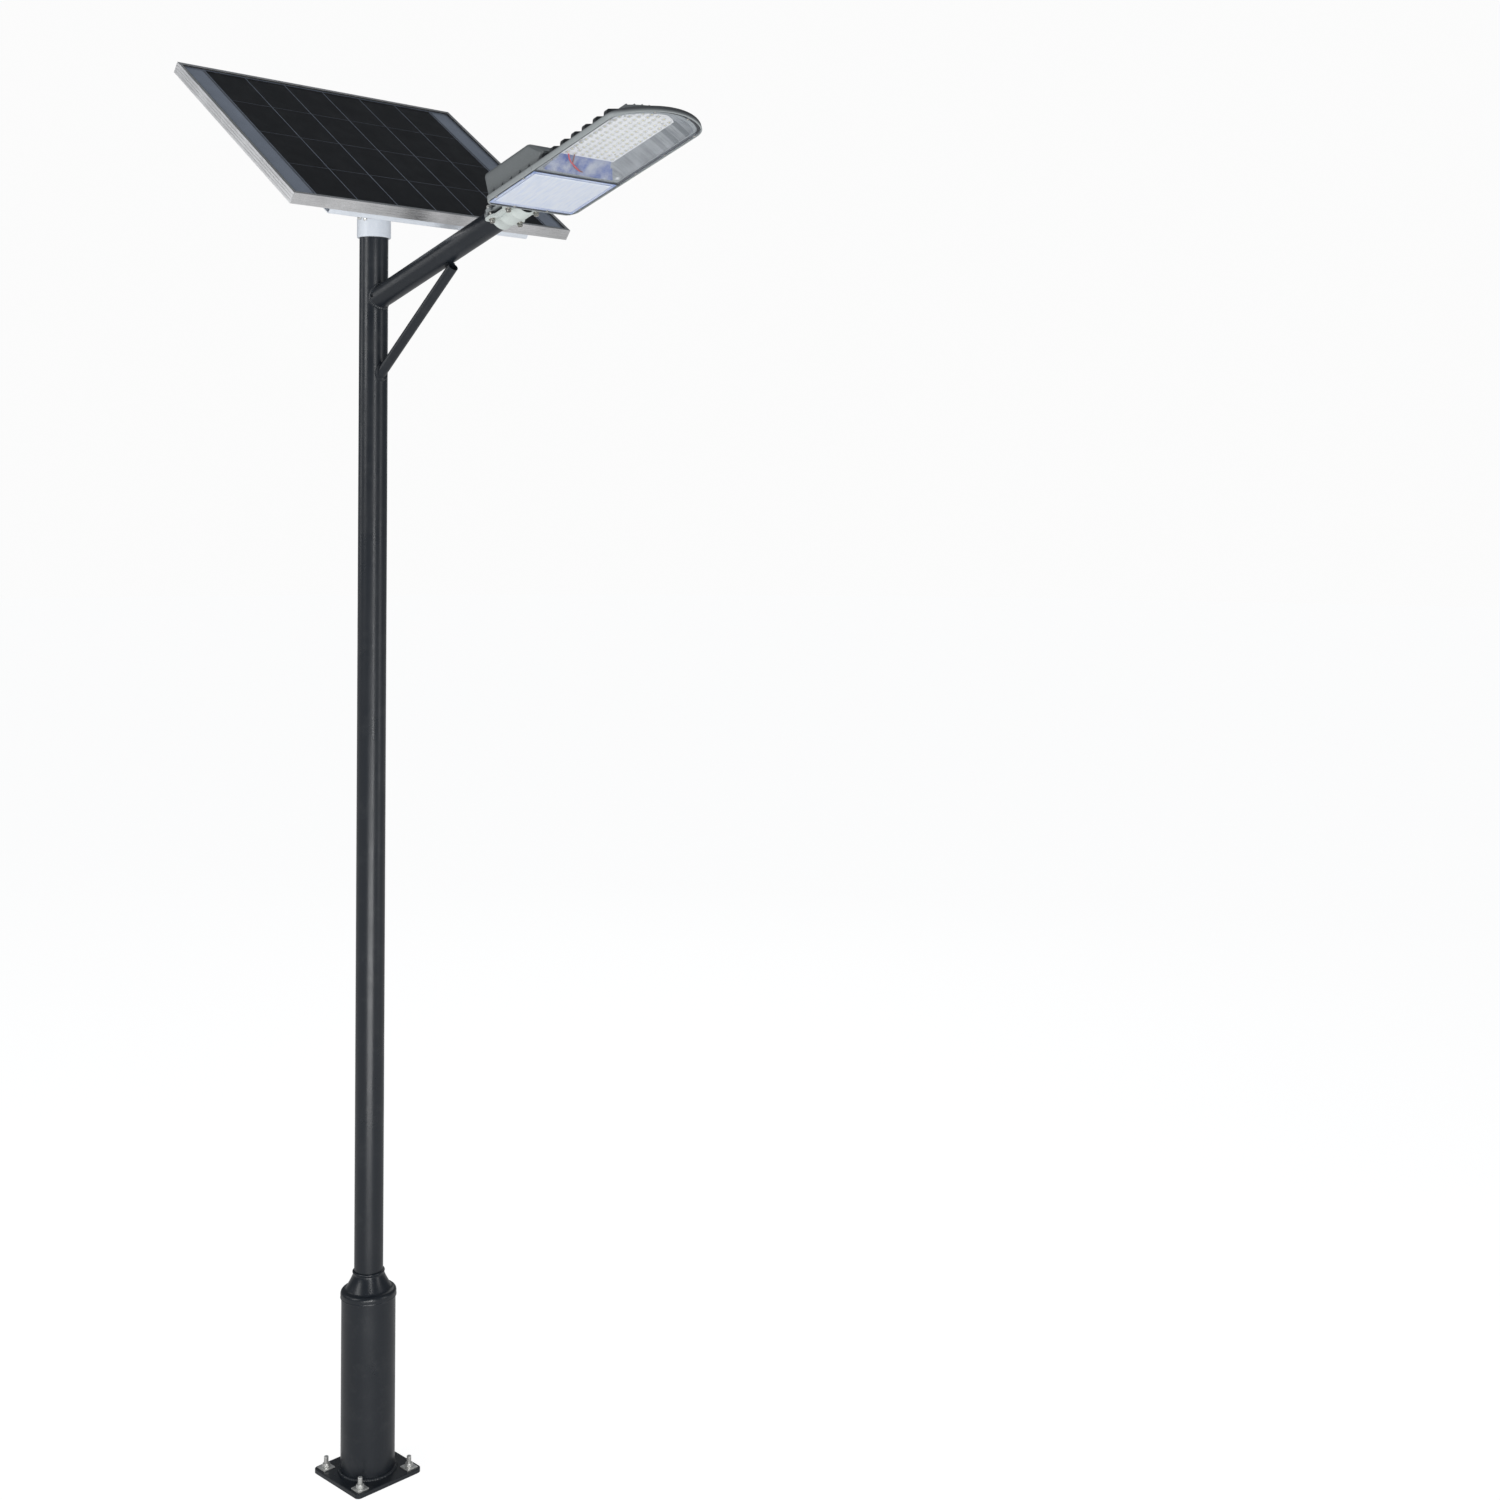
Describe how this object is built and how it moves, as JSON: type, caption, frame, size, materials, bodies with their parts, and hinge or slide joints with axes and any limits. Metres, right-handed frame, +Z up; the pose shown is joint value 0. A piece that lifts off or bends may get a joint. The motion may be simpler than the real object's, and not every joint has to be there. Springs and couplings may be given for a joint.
{
  "type": "solar street lamp",
  "caption": "Free-standing solar street lamp: steel column on a bolted base, tilting solar panel on top, braced arm with an LED lamp head.",
  "frame": {"origin": "centre of the base plate's underside, on the pole's axis", "axes": "+Z up along the pole, +X along the lamp arm, Y along the panel's long edges"},
  "size_m": [1.4305, 0.87, 3.7199],
  "materials": {
    "powder_coat": "satin",
    "white_coat": "satin",
    "zinc": "satin",
    "frame_aluminium": "satin",
    "head_cast": "satin",
    "clamp_cast": "satin",
    "panel_glass": "gloss",
    "cell": "gloss",
    "ribbon": "satin",
    "backsheet": "satin",
    "junction_black": "satin",
    "lens_clear": "gloss",
    "gasket": "matte",
    "board_white": "satin",
    "led_phosphor": "satin",
    "led_optic": "gloss",
    "battery_wrap": "gloss",
    "controller_black": "satin",
    "wire_red": "satin",
    "wire_brown": "satin"
  },
  "bodies": {
    "post": {"base_plate": "powder_coat", "anchor_studs": "zinc", "anchor_nuts": "zinc", "anchor_washers": "zinc", "foot_weld": "powder_coat", "base_sleeve": "powder_coat", "centering_ring": "powder_coat", "sleeve_collar": "powder_coat", "pole": "powder_coat", "arm": "powder_coat", "arm_weld": "powder_coat", "brace": "powder_coat", "brace_welds": "powder_coat"},
    "socket": {"panel_socket": "white_coat", "socket_screws": "zinc", "tilt_yoke": "white_coat", "pivot_bolt": "zinc", "pivot_nut": "zinc"},
    "panel": {"tilt_ears": "white_coat", "lock_bolt": "zinc", "lock_nut": "zinc", "carrier_beam": "white_coat", "rail_front": "white_coat", "rail_back": "white_coat", "rail_bolts": "zinc", "rail_nuts": "zinc", "frame_front": "frame_aluminium", "frame_back": "frame_aluminium", "frame_left": "frame_aluminium", "frame_right": "frame_aluminium", "panel_glass": "panel_glass", "solar_cells": "cell", "bus_ribbons": "ribbon", "backsheet": "backsheet", "junction_box": "junction_black", "junction_lid": "junction_black"},
    "head": {"head_housing": "head_cast", "lens_gasket": "gasket", "lens_cover": "lens_clear", "lens_screws": "zinc", "led_board": "board_white", "led_chips": "led_phosphor", "led_optics": "led_optic", "board_screws": "zinc", "battery_pack": "battery_wrap", "charge_controller": "controller_black", "wire_red": "wire_red", "wire_brown": "wire_brown", "clamp_lower": "clamp_cast", "clamp_bolts": "zinc", "clamp_nuts": "zinc"}
  },
  "joints": [
    {"name": "panel_swivel", "type": "hinge", "parent": "post", "child": "socket", "pos_m": [0, 0, 3.33], "axis": [0, 0, 1], "range_deg": [-40, 40]},
    {"name": "panel_tilt", "type": "hinge", "parent": "socket", "child": "panel", "pos_m": [0, 0, 3.42], "axis": [0, 1, 0], "range_deg": [-20, 4]},
    {"name": "head_roll", "type": "hinge", "parent": "post", "child": "head", "pos_m": [0, 0, 3.115], "axis": [0.9511, 0, 0.309], "range_deg": [-30, 30]}
  ]
}
